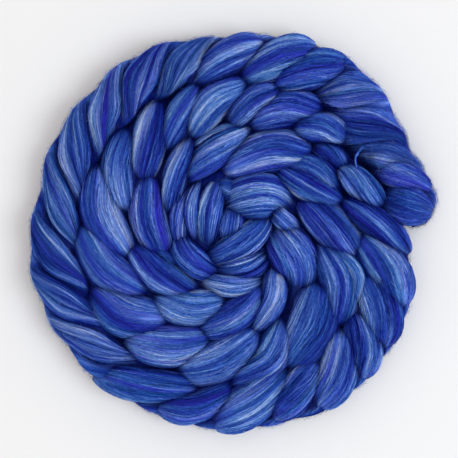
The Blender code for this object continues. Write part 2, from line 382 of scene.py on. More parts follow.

# Streaks that stand out. Numbers from LEAF_LOBE on are the loose bundles, in their order.
STREAKS = {
    # lobe: rows of middle, half width, how much paler and, where it is, how much more violet
    0: ((0, 1.5, -0.16, 0.05),),
    1: ((0.3, 0.6, 0.02, 0.4), (-0.5, 0.4, -0.06)),
    2: ((-0.3, 0.5, 0.16), (0.35, 0.35, 0.16)),
    3: ((-0.2, 1, -0.1),),
    4: ((0.3, 0.35, 0.2), (-0.5, 0.3, -0.16, 0.2)),
    5: ((-0.6, 0.3, 0.12), (0.3, 0.3, -0.08, 0.4)),
    6: ((0.9, 0.2, -0.22),),
    7: ((-0.2, 0.4, 0.14),),
    8: ((0.6, 0.16, 0.22), (-0.2, 0.4, -0.1)),
    9: ((0, 2, -0.08, 0.05), (-0.7, 0.25, -0.12, 0.5), (0, 0.14, 0.14), (0.65, 0.14, 0.22, 0.2)),
    10: (
        (-0.35, 0.13, 0.32), (0.06, 0.17, 0.02, 1.8), (0.32, 0.1, 0.24, 0.4), (0.52, 0.1, -0.24),
        (0.7, 0.05, 0.26),
    ),
    11: ((0, 2, 0.05), (-0.7, 0.16, 0.2, 0.2), (-0.1, 0.16, -0.18), (0.35, 0.2, 0.1, 0.1)),
    12: ((0, 2, 0.07), (0.65, 0.16, 0.18, 0.1), (0.1, 0.2, -0.12)),
    13: ((0.7, 0.2, 0.1), (-0.1, 0.3, -0.18, 0.45)),
    14: ((0, 2, 0.06), (0.45, 0.25, 0.1, 0.2), (0.8, 0.06, 0.26, 0.1), (-0.1, 0.15, -0.2, 0.1)),
    15: ((0.55, 0.3, 0.26), (-0.1, 0.2, -0.26, 0.1), (-0.6, 0.2, 0.08)),
    16: ((0.75, 0.25, -0.2), (-0.3, 0.3, 0.12), (0, 2, -0.1)),
    17: ((0.5, 0.5, -0.2, 0.1), (-0.25, 0.2, 0.1, 0.3), (-0.65, 0.15, 0.22)),
    18: ((0.85, 0.06, 0.26, 0.2), (0, 2, -0.1)),
    19: ((0.35, 0.2, -0.24), (-0.45, 0.25, 0.24)),
    20: ((0.6, 0.14, 0.26), (-0.7, 0.16, 0.2)),
    21: ((0, 2, -0.1), (0.1, 0.4, -0.12), (-0.85, 0.16, 0.26)),
    22: ((0, 2, -0.08), (-0.38, 0.13, 0.36, 0.1), (0.2, 0.3, -0.08), (-0.8, 0.16, 0.06, 0.15)),
    23: ((0, 2, -0.1), (0.3, 0.15, -0.2, 0.2), (-0.75, 0.2, 0.08)),
    # lobe 24: the dark row at -0.4 is a painted shadow, under the edge of lobe 25
    24: ((0, 2, -0.2), (-0.4, 0.2, -0.7), (-0.75, 0.12, 0.36), (0.3, 0.2, -0.12, 0.1)),
    25: ((0, 2, -0.08), (-0.1, 0.4, 0.12), (0.45, 0.08, -0.4), (0.62, 0.06, 0.12)),
    # lobe 26: darker all over, as painted shade where it lies low beside the tail
    26: ((0, 1.2, -0.66, 0.1), (0.6, 0.1, 0.4, 0.1)),
    27: ((0, 2, -0.08), (0.5, 0.3, 0.12), (-0.6, 0.3, -0.02, 0.4)),
    28: ((0, 2, -0.06), (-0.1, 0.6, -0.04, 0.1)),
    29: ((0.35, 0.35, 0.26),),
    30: ((0, 2, 0.06), (-0.35, 0.35, 0.18), (0.85, 0.2, 0.48)),
    31: ((0.3, 0.1, 0.2),),
    32: ((-0.35, 0.28, 0.32), (0.2, 0.08, -0.3), (0.6, 0.25, 0.08)),
    33: ((0, 2, -0.08), (-0.2, 0.4, 0.02, 0.25), (0.5, 0.15, 0.14)),
    34: ((0, 2, -0.16), (0.35, 0.2, 0.08, 0.1), (0.72, 0.14, 0.24), (-0.6, 0.3, -0.16)),
    35: ((0.35, 0.3, 0.16), (-0.7, 0.2, -0.08, 0.35)),
    36: ((0.3, 0.3, 0.1, 0.1), (-0.4, 0.3, -0.06, 0.25)),
    37: ((0, 2, 0.08), (0.7, 0.2, -0.1, 0.3), (0.1, 0.2, 0.1)),
    38: ((0, 0.3, 0.26),),
    39: ((0, 0.6, -0.02, 0.15),),
    40: ((-0.5, 0.3, 0.1, 0.1), (0.05, 0.07, 0.22), (0.3, 0.12, -0.2)),
    41: ((-0.65, 0.16, 0.24), (0, 0.15, -0.18)),
    42: ((-0.4, 0.2, 0.24),),
    43: ((0, 2, -0.1), (0, 0.7, -0.02, 0.15)),
    44: ((0.8, 0.3, 0.24), (-0.3, 0.2, -0.18, 0.1)),
    45: ((0, 2, -0.06), (-0.6, 0.3, 0.14), (0.3, 0.08, 0.22)),
    46: ((0, 2, -0.1), (-0.5, 0.2, 0.3), (0.75, 0.2, -0.08, 0.4)),
    47: ((-0.3, 0.35, 0.5), (0.7, 0.25, -0.1)),
    48: ((0.45, 0.25, -0.04, 1.2), (-0.4, 0.3, 0.04, 0.15)),
    49: ((0.1, 0.5, -0.14, 0.2), (-0.25, 0.06, 0.34)),
    50: ((0, 0.14, 0.3), (-0.5, 0.2, 0.16)),
    51: ((0, 2, -0.08), (0.3, 0.4, -0.1, 0.25)),
    52: ((-0.1, 0.5, 0.36, 0.1),),
    53: ((-0.75, 0.2, 0.1, 0.25), (0, 0.1, 0.2, 0.05), (0.25, 0.2, -0.22, 0.1)),
    55: ((0.4, 0.35, 0.32), (-0.6, 0.3, -0.06, 0.25)),
    # lobe 56: a little darker all over, as painted shade under the heart's loose bundles
    56: ((0, 2, -0.1),),
    # the low pad under the heart: darker all over, as painted shade in the heart's hollow
    70: ((0, 2, -0.3),),
    71: ((0, 2, 0, 0.15),),
    72: ((0, 2, 0.08),),
    73: ((0, 2, 0.06), (-0.55, 0.16, 0.24), (0.45, 0.25, 0, 0.25)),
    74: ((0, 2, -0.06),),
    76: ((0, 2, 0.26), (-0.3, 0.45, 0.14)),
    77: ((0, 2, -0.14),),
    78: ((0, 2, -0.14, 0.15),),
    79: ((-1.5, 0.8, -0.26, 0.1), (-0.4, 0.12, 0.14, 0.05), (0.4, 0.6, -0.08, 0.1), (1.8, 0.4, 0.08, 0.35)),
    80: ((0, 2, 0.02, 0.1),),
    81: ((1.8, 0.7, -0.12, 0.5), (0.8, 0.3, 0.04, 0.2), (-0.4, 0.8, 0.02)),
    82: ((-0.9, 0.14, 0.24), (-0.35, 0.1, 0.2), (0.6, 0.4, -0.14, 0.15), (0, 2, 0.08)),
    83: ((0, 2, -0.02),),
    84: ((0, 2, -0.04, 0.35), (-0.5, 0.15, 0.22, 0.2)),
    85: ((0, 2, -0.22, 0.05), (0.75, 0.1, -0.2)),
}
PALER, MORE_VIOLET = 0, 1

STREAK_STRENGTH = 0.66
VIOLET_STRENGTH = 0.55

# Where a lobe falls apart into bundles: rows of middle, half width and depth.
SPLITS = {
    5: ((0, 0.07, 1.2),), 12: ((0.35, 0.06, 1.2),), 14: ((0.2, 0.06, 1.2),), 15: ((0.1, 0.07, 1.4),),
    16: ((0.35, 0.07, 1.2),), 17: ((0.35, 0.06, 1),), 20: ((0.3, 0.06, 1),), 21: ((-0.7, 0.08, 1.6),),
    22: ((-0.16, 0.08, 1.6),), 25: ((0.45, 0.08, 1.6),), 32: ((0.2, 0.08, 1.4),), 40: ((0.3, 0.06, 1),),
    53: ((0.25, 0.07, 1.2),),
}
DEPTH = 0

# How far along the rope the fibres of its own skin run, as a phase, while they cross from the rope's
# middle to its side, were they straight. Outside ROPE_LOBES that skin shows only between the laid
# lobes. Rows of lobe and lean.
LEANS = (
    (3, 2.2), (4, 1.6), (5, 2.6), (6, 1.9), (8, 1.6), (17, 1.6), (18, 2.0), (19, 2.8), (20, 3.2), (21, 2.9),
    (23, 2.1), (24, 1.7), (25, 1.6), (27, 1.5), (28, 2.1), (29, 1.6), (33, 1.9), (38, 1.7), (39, 2.1),
    (40, 1.9), (42, 1.5), (44, 1.5), (46, 2.1), (48, 1.6), (50, 2.0), (51, 1.5),
)

# How far the fibres of a laid lobe turn round it from its middle to either end, as a share of
# SIDE_ANGLE. Rows of lobe and turn.
TURNS_ROUND = (
    (24, 0.25), (25, 0.6), (28, 0.5), (29, 0.15), (38, 0.15), (39, 0.3), (41, 0.15), (45, 0.15), (46, 0.4),
    (47, 0.1), (50, 0.3), (52, 0.15),
)
LEANS_MORE = 0.45  # how much more they lean near the rope's sides
WIDEST = 0.9
DRAWN_TOGETHER = 0.6  # how much narrower the fan of fibres is at the ends of a lobe
FIBRE_REACH = 1.14
SIDE_REACH = 0.97  # past this a fibre goes on round the rope's side
ROUND_THE_SIDE = 2.5
SHARE_LIMIT = 1.6
DIVE_ANGLE = 1.58  # a fibre that runs on past this angle from the crest goes under the next lobe
DIVE = 5.0
DEEPEST_DIVE = 2.5
ROUNDS_TO_SETTLE = 8


def leaning(lobe, reach):
    return read_between(LEANS, lobe) * (reach + LEANS_MORE * reach**3)


def spread(reach):
    return math.pi / 2 * WIDEST * (1 - DRAWN_TOGETHER * np.abs(reach) ** 3)


def settled(lobe, plan_phase, reach):
    """Phase and off_crest of the place on a lobe's skin that lies there in plan."""
    wanted = uncapped(reach)
    round_rope = np.arcsin(reach)
    for _ in range(ROUNDS_TO_SETTLE):
        phase = plan_phase - leaned(plan_phase, round_rope)
        off_crest = round_rope + lobe * math.pi - phase
        sine = np.clip(wanted / (SIDE_FILL * swell(lobe, phase, off_crest, round_rope)), -1.0, 1.0)
        nearer = np.sign(sine) * np.arcsin(np.abs(sine) ** (1 / SQUARENESS))
        round_rope = (round_rope + nearer) / 2
    return phase, off_crest


def fibre(lobe, t, share):
    """Phase and off_crest of a place on a lobe of the rope's own skin."""
    run = FIBRE_REACH * (2 * np.clip(t, 0.0, 1.0) - 1)
    reach = np.clip(run, -SIDE_REACH, SIDE_REACH)
    plan_phase = lobe * math.pi + leaning(lobe, reach) - share * spread(reach)
    phase, off_crest = settled(lobe, plan_phase, reach)
    return phase, off_crest + ROUND_THE_SIDE * (run - reach)


def fibre_place(phase, off_crest, ply):
    """The lobe, t and share of a place on the skin: fibre() the other way round."""
    lobe, _, plan_phase, reach = rope_place(phase, off_crest, ply)
    share = (lobe * math.pi + leaning(lobe, reach) - plan_phase) / spread(reach)
    return lobe, (1 + reach / FIBRE_REACH) / 2, np.clip(share, -SHARE_LIMIT, SHARE_LIMIT)


def summed(table, column, lobe, share):
    """What a lobe's rows of middle, half width and amounts add up to at a place across it."""
    total = np.zeros(np.broadcast(lobe, share).shape)
    for number, rows in table.items():
        on_lobe = lobe == number
        for middle, half_width, *amounts in rows:
            if column < len(amounts):
                near = np.exp(-(((share - middle) / half_width) ** 4))
                total += np.where(on_lobe, amounts[column] * near, 0.0)
    return total


def parted(heights, narrowness, sharpness):
    """1 where a grain passes through 0, and 0 away from there."""
    return (1 - np.minimum(np.abs(heights) * narrowness, 1.0)) ** sharpness


def relief(lobe, t, share):
    """How far bundles and locks part the skin, in mm, always inwards."""
    valleys = BUNDLE_RELIEF * parted(BUNDLES(lobe, t, share), *VALLEY_SHAPE)
    furrows = LOCK_RELIEF * parted(LOCKS(lobe, t, share), *FURROW_SHAPE)
    splits = summed(SPLITS, DEPTH, lobe, share) * np.sin(np.clip(t, 0.0, 1.0) * math.pi)
    return -(valleys + furrows + splits)


def tone(lobe, t, share):
    """Where the wool lies between its darkest and its palest blue, from 0 to 1, with painted shade at a
    lobe's ends and in some streaks.
    """
    wide, middle, fine = (grain_of(lobe, t, share) for grain_of in (TONE_WIDE, TONE_MIDDLE, TONE_FINE))
    # painted shade: a lobe's ends are darker, where they dip under its neighbours
    ends = SHADED_ENDS * ramp(*SHADED_END_REACH, np.abs(t - 0.5))
    fading = MEAN_FADING + FADING(lobe, t, share)
    streaks = STREAK_STRENGTH * fading * summed(STREAKS, PALER, lobe, share)
    return MEAN_TONE + wide + middle + fine - ends + streaks


def violet(lobe, t, share):
    """How violet the wool is, from 0 to 1."""
    patches = VIOLET_PATCHES * ramp(*PATCH_HEIGHTS, VIOLET(lobe, t, share))
    streaks = VIOLET_STRENGTH * summed(STREAKS, MORE_VIOLET, lobe, share)
    return np.clip(patches + streaks, 0.0, 1.0)


def hue(lobe, t, share):
    """-1 where the blue leans to green and 1 where it leans to violet."""
    return np.clip(HUE_WIDE(lobe, t, share) + HUE_NARROW(lobe, t, share), -HUE_LIMIT, HUE_LIMIT)


# ---- meshes


def new_object(name, data):
    thing = bpy.data.objects.new(name, data)
    bpy.context.scene.collection.objects.link(thing)
    return thing


def new_mesh(name, points, faces, numbers, material):
    """A smooth mesh object from points in mm. numbers holds one value for each point, by name."""
    mesh = bpy.data.meshes.new(name)
    mesh.from_pydata(points * MM, [], faces)
    mesh.shade_smooth()
    for label, values in numbers.items():
        layer = mesh.attributes.new(label, "FLOAT", "POINT")
        layer.data.foreach_set("value", np.asarray(values, np.float32).ravel())
    mesh.materials.append(material)
    return new_object(name, mesh)


def closed_skin(name, rings, numbers, material):
    """A mesh through rings of points, closed by a tip at both ends. numbers has a value for each point."""
    rows, corners = rings.shape[:2]
    at = np.arange(rows * corners).reshape(rows, corners)
    beside = np.roll(at, -1, axis=1)
    faces = np.stack([at[:-1], at[1:], beside[1:], beside[:-1]], axis=-1).reshape(-1, 4).tolist()
    faces += [[int(a), int(b), rows * corners] for a, b in zip(at[0], beside[0])]
    faces += [[int(b), int(a), rows * corners + 1] for a, b in zip(at[-1], beside[-1])]
    tips = np.stack([rings[0].mean(axis=0), rings[-1].mean(axis=0)])
    with_tips = {
        label: np.append(values.ravel(), [values[0, 0], values[-1, 0]]) for label, values in numbers.items()
    }
    return new_mesh(name, np.concatenate([rings.reshape(-1, 3), tips]), faces, with_tips, material)


RINGS_PER_LOBE = 11
CORNERS_PER_PLY = 26
# painted shade in the grooves between the rope's own lobes, at its darkest
GROOVE_SHADE = 0.18
GROOVE_ANGLES = (1.2, 1.55)  # from the crest, where a groove's painted shade begins and where it is full
BODY_INSET = 0.5  # the strands lie over a skin that is this much smaller
RELIEF_SHARE = 0.9  # the laid lobes and the strands follow this much of the relief
LAID_INSET = 0.3
FLOOR_GAP = 0.05


def looks(lobe, t, share, points):
    """The numbers that the wool's material reads, at places on its fibres."""
    return {
        "tone": tone(lobe, t, share),
        "violet": violet(lobe, t, share),
        "hue": hue(lobe, t, share),
        "shade": open_to_light(points),
        "across": share,
        "along": t,
        "lobe": lobe + np.zeros_like(share),
    }


def shaded_in_groove(phase, off_crest):
    """Painted shade: less than 1 in the grooves between the rope's own lobes."""
    return 1 - GROOVE_SHADE * groove_share(phase) * ramp(*GROOVE_ANGLES, np.abs(off_crest))


def coil_body(material):
    """The rope's whole skin, with its bundles and locks parted."""
    first, last = PHASE_RANGE
    count = round((last - first) / math.pi * RINGS_PER_LOBE)
    phase = np.linspace(first, last, count + 1)[1:-1]
    off_crest = -math.pi / 2 + math.pi / CORNERS_PER_PLY * np.arange(CORNERS_PER_PLY)
    p, c = np.meshgrid(phase, off_crest, indexing="ij")
    skins = []
    seen = []
    for ply in (0, 1):
        points, _, outwards = rope_skin(p, c, ply)
        place = fibre_place(p, c, ply)
        on_top = np.clip(2 * np.cos(round_the_rope(p, c, ply)), 0.0, 1.0)
        points = points + outwards * (on_top * (relief(*place) - BODY_INSET))[..., None]
        points[..., 2] = np.maximum(points[..., 2], 0.0)
        skins.append(points)
        seen.append(looks(*place, points))
        # painted shade in the grooves between the lobes
        seen[-1]["shade"] *= shaded_in_groove(p, c)
    numbers = {label: np.concatenate([ply[label] for ply in seen], axis=1) for label in seen[0]}
    return closed_skin("roving_body", np.concatenate(skins, axis=1), numbers, material)


def turned_right(points, aside, outwards):
    """The way across each strand, turned about where it would leave the strand's faces inside out."""
    middle = points.shape[1] // 2
    onwards = points[:, middle] - points[:, middle - 1]
    forwards = np.cross(aside[:, middle], outwards[:, middle])
    side = np.where(np.sum(onwards * forwards, axis=-1) < 0, -1.0, 1.0)
    return aside * side[:, None, None]


SUNK_SHARE = 0.3  # how far a strand's two lower edges lie under its middle, as a share of its height


def strand_faces(count, rings):
    """The faces of strands: rings of three corners each, between a point at either end."""
    ring = 1 + 3 * np.arange(rings)[:, None] + np.arange(3)[None, :]
    beside = np.roll(ring, -1, axis=1)
    last = rings * 3 + 1
    a, b, c, d = (corner.reshape(-1) for corner in (ring[:-1], beside[:-1], beside[1:], ring[1:]))
    sides = np.concatenate([np.stack([a, c, b], -1), np.stack([a, d, c], -1)])
    start = np.stack([np.zeros(3, int), ring[0], beside[0]], -1)
    end = np.stack([np.full(3, last), beside[-1], ring[-1]], -1)
    one = np.concatenate([sides, start, end])
    return (one[None] + (last + 1) * np.arange(count)[:, None, None]).reshape(-1, 3)


def strands(name, points, aside, outwards, width, height, numbers, material):
    """Closed three-sided strands along rows of points, drawn to a point at both ends.

    aside and outwards are the ways across and out of the skin at each point. width and height have one
    value for each strand.
    """
    count, stations = points.shape[:2]
    rings = stations - 2
    along = np.linspace(0.0, 1.0, stations)
    taper = np.sqrt(np.clip(np.sin(along * math.pi), 0.0, 1.0))[None, :, None]
    half = turned_right(points, aside, outwards) * taper * width[:, None, None] / 2
    rise = outwards * taper * height[:, None, None]
    sunk = rise * SUNK_SHARE
    body = np.stack([points - half - sunk, points + rise, points + half - sunk], axis=2)[:, 1:-1]
    body = body.reshape(count, rings * 3, 3)
    corners = np.concatenate([points[:, :1], body, points[:, -1:]], axis=1).reshape(-1, 3)
    corners[:, 2] = np.maximum(corners[:, 2], FLOOR_GAP)
    at_corners = {}
    for label, values in numbers.items():
        middle = np.repeat(values[:, 1:-1], 3, axis=1)
        at_corners[label] = np.concatenate([values[:, :1], middle, values[:, -1:]], axis=1)
    return new_mesh(name, corners, strand_faces(count, rings), at_corners, material)


def rope_surface(lobe, t, share):
    """Points on the fibres of the rope's own skin, aside, outwards and the looks at each."""
    phase, off_crest = fibre(lobe, t, share)
    ply = lobe % 2
    points, aside, outwards = rope_skin(phase, off_crest, ply)
    dive = DIVE * np.maximum(np.abs(off_crest) - DIVE_ANGLE, 0.0)
    points = points - outwards * np.minimum(dive, DEEPEST_DIVE)[..., None]
    numbers = looks(lobe, t, share, points)
    # painted shade in the grooves between the lobes
    numbers["shade"] *= shaded_in_groove(phase, off_crest)
    return points, aside, outwards, numbers


# The lobes that lie proud of the rope's plain form: each a pointed oval over the rope. x and y are from
# COIL_CENTRE.
PETALS = {
    # lobe: half width, height, and the x and y of its outer end, its middle and its inner end
    5: (12.5, 28.5, (68, 120), (43, 114.5), (17, 104.5)),
    6: (13, 28.5, (47, 130), (24, 122.5), (-2, 108)),
    7: (12, 28.5, (12, 134), (-11, 123), (-33, 107.5)),
    16: (11.5, 28, (-103, -87), (-71, -93), (-34, -94.5)),
    17: (11, 28, (-61, -108.5), (-36, -108.5), (-10, -96)),
    18: (14.5, 28.5, (-23, -122), (2, -105.5), (25, -83)),
    19: (12.5, 27.5, (16, -117), (31, -99), (47, -76)),
    20: (13.5, 28.5, (47, -110), (58.5, -87), (62, -58)),
    21: (12.3, 27.5, (76.5, -91), (77, -68.5), (69, -45)),
    22: (14.2, 28, (90.5, -70.5), (88.3, -46.5), (76, -20)),
    23: (14, 28.5, (104, -43), (93.5, -19), (74, 3)),
    24: (10.5, 26.5, (105, -4), (87, 12), (63, 27)),
    25: (9.5, 27.5, (90, 25), (74.5, 38.5), (60, 49)),
    26: (9, 21, (67, 49), (55, 58), (41, 63)),
    27: (10, 28, (66, 71), (50, 76.5), (31, 74)),
    28: (12.5, 27, (49, 89), (26, 88.5), (3, 77)),
    29: (10, 27, (21, 103), (4, 94), (-11, 78)),
    30: (12, 28, (-1, 105), (-21.5, 93), (-36, 72)),
    31: (9.8, 26, (-32, 104), (-45, 82.5), (-54, 61)),
    32: (11.6, 28, (-60.5, 92), (-64.5, 67.5), (-69.5, 41)),
    33: (12, 27, (-81, 74), (-85, 48), (-79, 21)),
    34: (14, 27, (-99, 50), (-96.5, 20), (-78, -9)),
    35: (14.5, 27, (-110, 10), (-93.5, -15.5), (-68, -31)),
    36: (15, 27, (-103, -32), (-81, -47.5), (-52, -50)),
    37: (14.5, 27.5, (-79, -64), (-52, -67.5), (-25, -62)),
    38: (14.5, 27, (-44, -86), (-18, -77), (6, -58)),
    39: (12.5, 26.5, (-10, -93), (15, -77), (23, -52)),
    40: (16.5, 28.5, (28, -82), (43, -54), (47, -28)),
    41: (13.5, 27.5, (60, -54), (61.5, -26), (48, -2)),
    42: (6, 26.5, (70, -42), (72, -20), (55, -2)),
    43: (13.5, 27, (73, -9), (56.5, 10), (37, 28)),
    44: (9.5, 26, (62, 27), (42, 36), (19, 49)),
    45: (14.5, 27, (42, 60), (16, 61), (-13, 49)),
    46: (10, 26.5, (1, 75), (-20, 60.5), (-41, 43)),
    47: (8.4, 27, (-38, 68), (-47.5, 44), (-52, 19)),
    48: (12.8, 28, (-66, 44), (-65.5, 18), (-55, -7)),
    49: (12, 27, (-77, -3), (-60, -20), (-36, -32)),
    50: (12.5, 27, (-61, -37), (-38, -43.5), (-14, -38)),
    51: (12, 27, (-31, -59), (-9, -48.5), (9, -29)),
    52: (8.8, 26.5, (4, -58), (17, -37), (18, -17)),
    57: (9, 24, (61, 34), (45, 49), (21, 55)),
    58: (5, 20, (3, 78), (-20, 73.5), (-39, 60)),
    59: (4, 22, (-64, -3), (-54, -8), (-45, -17)),
}
FIRST_INNER_LOBE = 24  # the lobes before it lie on the coil's rim
PETAL_DROP = 23.0  # how far a lobe's ends dip, under its neighbours
PETAL_REACH = 1.28  # how much longer it is than what shows of it
RIM_REACH = 1.06  # and how much at an end that lies on the coil's rim
PETAL_SPREAD = 1.03
PETAL_THICKNESS = 14.0
PETAL_BLUNTNESS = 0.52
PETAL_FLATNESS = 0.4  # under 1, a lobe keeps its thickness nearly to its ends
SIDE_ANGLE = 1.35  # how far round a lobe its outermost fibres lie
LEAST_HEIGHT = 0.5


def spine_frame(knots, spine, t):
    """Points along a spine, and the level way across it at each."""
    line = np.stack([smooth_curve(knots, column, t) for column in zip(*spine)], axis=-1)
    ahead = np.stack([smooth_curve(knots, column, t + STEP) for column in zip(*spine)], axis=-1) - line
    across = unit(np.stack([-ahead[..., 1], ahead[..., 0], np.zeros_like(t)], axis=-1))
    line[..., :2] += COIL_CENTRE
    return line, across


def petal_points(number):
    """The skin of a lobe laid on the rope: t along it, and angle round it from its top."""
    half_width, height, *flat_spine = PETALS[number]
    spine = [(x, y, height) for x, y in flat_spine]

    def points_at(t, angle):
        t = np.clip(t, 0.0, 1.0)
        reach = np.where((number < FIRST_INNER_LOBE) & (t < 0.5), RIM_REACH, PETAL_REACH)
        line, across = spine_frame((0.0, 0.5, 1.0), spine, 0.5 + (t - 0.5) * reach)
        size = 4 * t * (1 - t)
        aside = half_width * PETAL_SPREAD * size**PETAL_BLUNTNESS * np.sin(angle)
        points = line + across * aside[..., None]
        points[..., 2] -= PETAL_DROP * (2 * t - 1) ** 4
        points[..., 2] -= PETAL_THICKNESS * size**PETAL_FLATNESS * (1 - np.cos(angle))
        points[..., 2] = np.maximum(points[..., 2], LEAST_HEIGHT)
        return points

    return points_at


def petal_surface(lobe, t, share):
    """As rope_surface, for the lobes that are laid on the rope."""
    angle = (share - read_between(TURNS_ROUND, lobe) * (2 * t - 1)) * SIDE_ANGLE
    points, aside, outwards = (np.zeros((*t.shape, 3)) for _ in range(3))
    for number in np.unique(lobe):
        here = lobe == number
        found = skin_of(petal_points(int(number)), t[here], angle[here])
        points[here], aside[here], outwards[here] = found
    return points, aside, outwards, looks(lobe, t, share, points)


TUCK = 0.4  # how deep a strand's ends lie in the skin
SHARE_REACH = 1.12  # the outermost strands lie just past a lobe's sides
PALEST = 0.9
VIOLET_STRANDS = 0.03  # the share of strands that are more violet than the wool around them
MUCH_MORE_VIOLET = 0.4
HUE_CONTRAST = 0.5


def wool_strands(name, material, surface, lobes, stations, width, height, lift, length, wave, contrast):
    """Strands laid along the fibres of these lobes, their ends tucked in. lobes has one for each strand."""
    count = len(lobes)
    long = RNG.uniform(*length, count)
    start = RNG.uniform(0.0, 1.0, count) * (1 - long)
    along = np.linspace(0.0, 1.0, stations)[None, :]
    t = start[:, None] + long[:, None] * along
    lobe = np.broadcast_to(lobes[:, None], t.shape)
    share = RNG.uniform(-SHARE_REACH, SHARE_REACH, count)[:, None]
    share = share + RNG.normal(0.0, wave, (count, 1)) * (along - 0.5)
    share = share + RNG.normal(0.0, wave / 2, (count, 1)) * np.sin(along * 2 * math.pi)
    points, aside, outwards, numbers = surface(lobe, t, share)
    tucked = (2 * along - 1) ** 2
    proud = RNG.uniform(*lift, count)[:, None] * (1 - tucked) - TUCK * tucked
    proud = proud + RELIEF_SHARE * relief(lobe, t, numbers["across"])
    points = points + outwards * proud[..., None]
    numbers["tone"] = np.minimum(numbers["tone"] + RNG.normal(0.0, contrast, count)[:, None], PALEST)
    numbers["hue"] = numbers["hue"] + RNG.normal(0.0, HUE_CONTRAST, count)[:, None]
    more_violet = MUCH_MORE_VIOLET * (RNG.random(count) < VIOLET_STRANDS)
    numbers["violet"] = np.clip(numbers["violet"] + more_violet[:, None], 0.0, 1.0)
    widths = RNG.uniform(*width, count)
    heights = RNG.uniform(*height, count)
    return strands(name, points, aside, outwards, widths, heights, numbers, material)


# ---- the loose bundles

# Bundles that lie loose over the rope's inner end, a curl beside the tail and the tail's two folds. A
# spine is a row of points along the bundle's top, from COIL_CENTRE and from the floor.
LEAVES = (
    # name, half width, thickness, spine
    # a low pad of wool under the heart's bundles, darker (row 70 of STREAKS) as painted shade in the
    # heart's hollow
    ("shaded_bed", 24, 9, ((-41, 11, 8), (-19, 1, 11), (3, -5, 11), (17, -15, 8))),
    ("violet_lock", 6.4, 7, ((-34, 43, 14), (-43.4, 26.4, 23.5), (-45.9, 8.6, 23.5), (-42, -10, 13))),
    ("grey_lock", 5.6, 7, ((-29, 46, 14), (-35.4, 28.4, 25.5), (-36.4, 15.3, 26), (-34, -2, 14))),
    ("blue_lock", 9, 9, ((-16, 47, 14), (-22.8, 28.4, 26), (-25.6, 13.9, 26.5), (-27, -8, 13))),
    ("short_lock", 8, 8, ((-26, 38, 14), (-14, 35.5, 20), (-3, 31, 17), (8, 26, 12))),
    ("low_lock", 9, 9, ((-48, 14, 14), (-43, -4, 24.5), (-31, -15.5, 25.5), (-14, -23, 14))),
    ("pale_lock", 6.8, 8, ((-37, -20, 13), (-21, -27, 24.5), (-4, -28.5, 27), (15, -23, 17))),
    ("ring", 10, 8, ((-28, -17, 12), (-11, -18, 21), (4, -14, 22), (18, -3, 14))),
    ("tuft", 11, 9, ((-9, 29, 14), (-11.5, 13, 22.5), (-15, -6, 12))),
    ("round_lobe", 15, 13, ((14, 17, 13), (23, 3, 25), (31, -9.5, 28), (35, -22, 25), (32, -39, 12))),
    ("small_lobe", 6.5, 7, ((12, 25, 13), (24, 15.5, 23), (37, 2, 13))),
    ("crown", 15.5, 14, ((-23, 21, 14), (-8, 28, 24), (8, 31.5, 28.5), (21, 29.5, 25.5), (34, 20, 13))),
    ("crescent", 10, 9, ((-35, -13, 12), (-16, -7.5, 22.5), (-1.5, 1, 25), (9, 11, 23.5), (15.5, 24, 13))),
    ("curl", 0.8, 0.8, ((80, 65.5, 21), (74, 61, 24), (70.8, 53.5, 23), (76.5, 40.5, 15))),
    ("tail_fold", 9, 12, ((79, 50, 17), (92, 47, 26.5), (107, 42.5, 28), (124, 35, 19))),
    ("tail_end", 14, 13, ((83, 34, 15), (96, 28.5, 25), (109, 24.5, 27), (125, 20, 18))),
)
LEAF_LOBE = 70  # the first leaf's number among the lobes, for its grain
BODY_RINGS = 30
BODY_CORNERS = 22
LEAF_BLUNTNESS = 0.5
LOBE_HALF_WIDTH = 7.0  # a bundle's grain is as fine as on a lobe of this half width
GRAIN_REACH = 1.2  # across a bundle, past which its grain stands still


def leaf_points(leaf, t, angle):
    """Points on a bundle: t along it, and angle round it from its top."""
    _, half_width, thickness, spine = leaf
    t = np.clip(t, 0.0, 1.0)
    line, across = spine_frame(np.linspace(0.0, 1.0, len(spine)), spine, t)
    size = np.clip(4 * t * (1 - t), 0.0, 1.0) ** LEAF_BLUNTNESS
    points = line + across * (half_width * size * np.sin(angle))[..., None]
    points[..., 2] = np.maximum(points[..., 2] + thickness * (size * np.cos(angle) - 1), LEAST_HEIGHT)
    return points


# ---- shade

MAP_CELL = 1.25  # mm
MAP_SIDE = 260  # cells
MAP_ALONG = 80  # places looked at along a laid lobe or a bundle
MAP_ROUND = 60  # and round its top
MAP_PHASE_STEP = 0.06
BLUR_CELLS = 12
CREVICE_WIDTH = 3.1
DEPTHS = (-0.4, 3.8)  # wool this far below the wool around it is in the open, or in the dark
DARKEST = 0.06


def height_map():
    """The height of the topmost wool over each cell of the floor."""
    round_top = np.linspace(-math.pi / 2, math.pi / 2, MAP_ROUND)
    t, angle = np.meshgrid(np.linspace(0.0, 1.0, MAP_ALONG), round_top, indexing="ij")
    skins = [petal_points(number)(t, angle) for number in PETALS]
    skins += [leaf_points(leaf, t, angle) for leaf in LEAVES]
    phase, off_crest = np.meshgrid(np.arange(*PHASE_RANGE, MAP_PHASE_STEP), round_top, indexing="ij")
    skins += [rope_points(phase, off_crest, ply) for ply in (0, 1)]
    heights = np.zeros((MAP_SIDE, MAP_SIDE))
    for points in skins:
        cell = np.floor(points[..., :2] / MAP_CELL + MAP_SIDE / 2).astype(int)
        np.maximum.at(heights, (cell[..., 0], cell[..., 1]), points[..., 2])
    return heights


def blurred(heights):
    reach = np.arange(-BLUR_CELLS, BLUR_CELLS + 1) * MAP_CELL
    weights = np.exp(-((reach / CREVICE_WIDTH) ** 2) / 2)
    weights /= weights.sum()
    for axis in (0, 1):
        heights = np.apply_along_axis(np.convolve, axis, heights, weights, "same")
    return heights


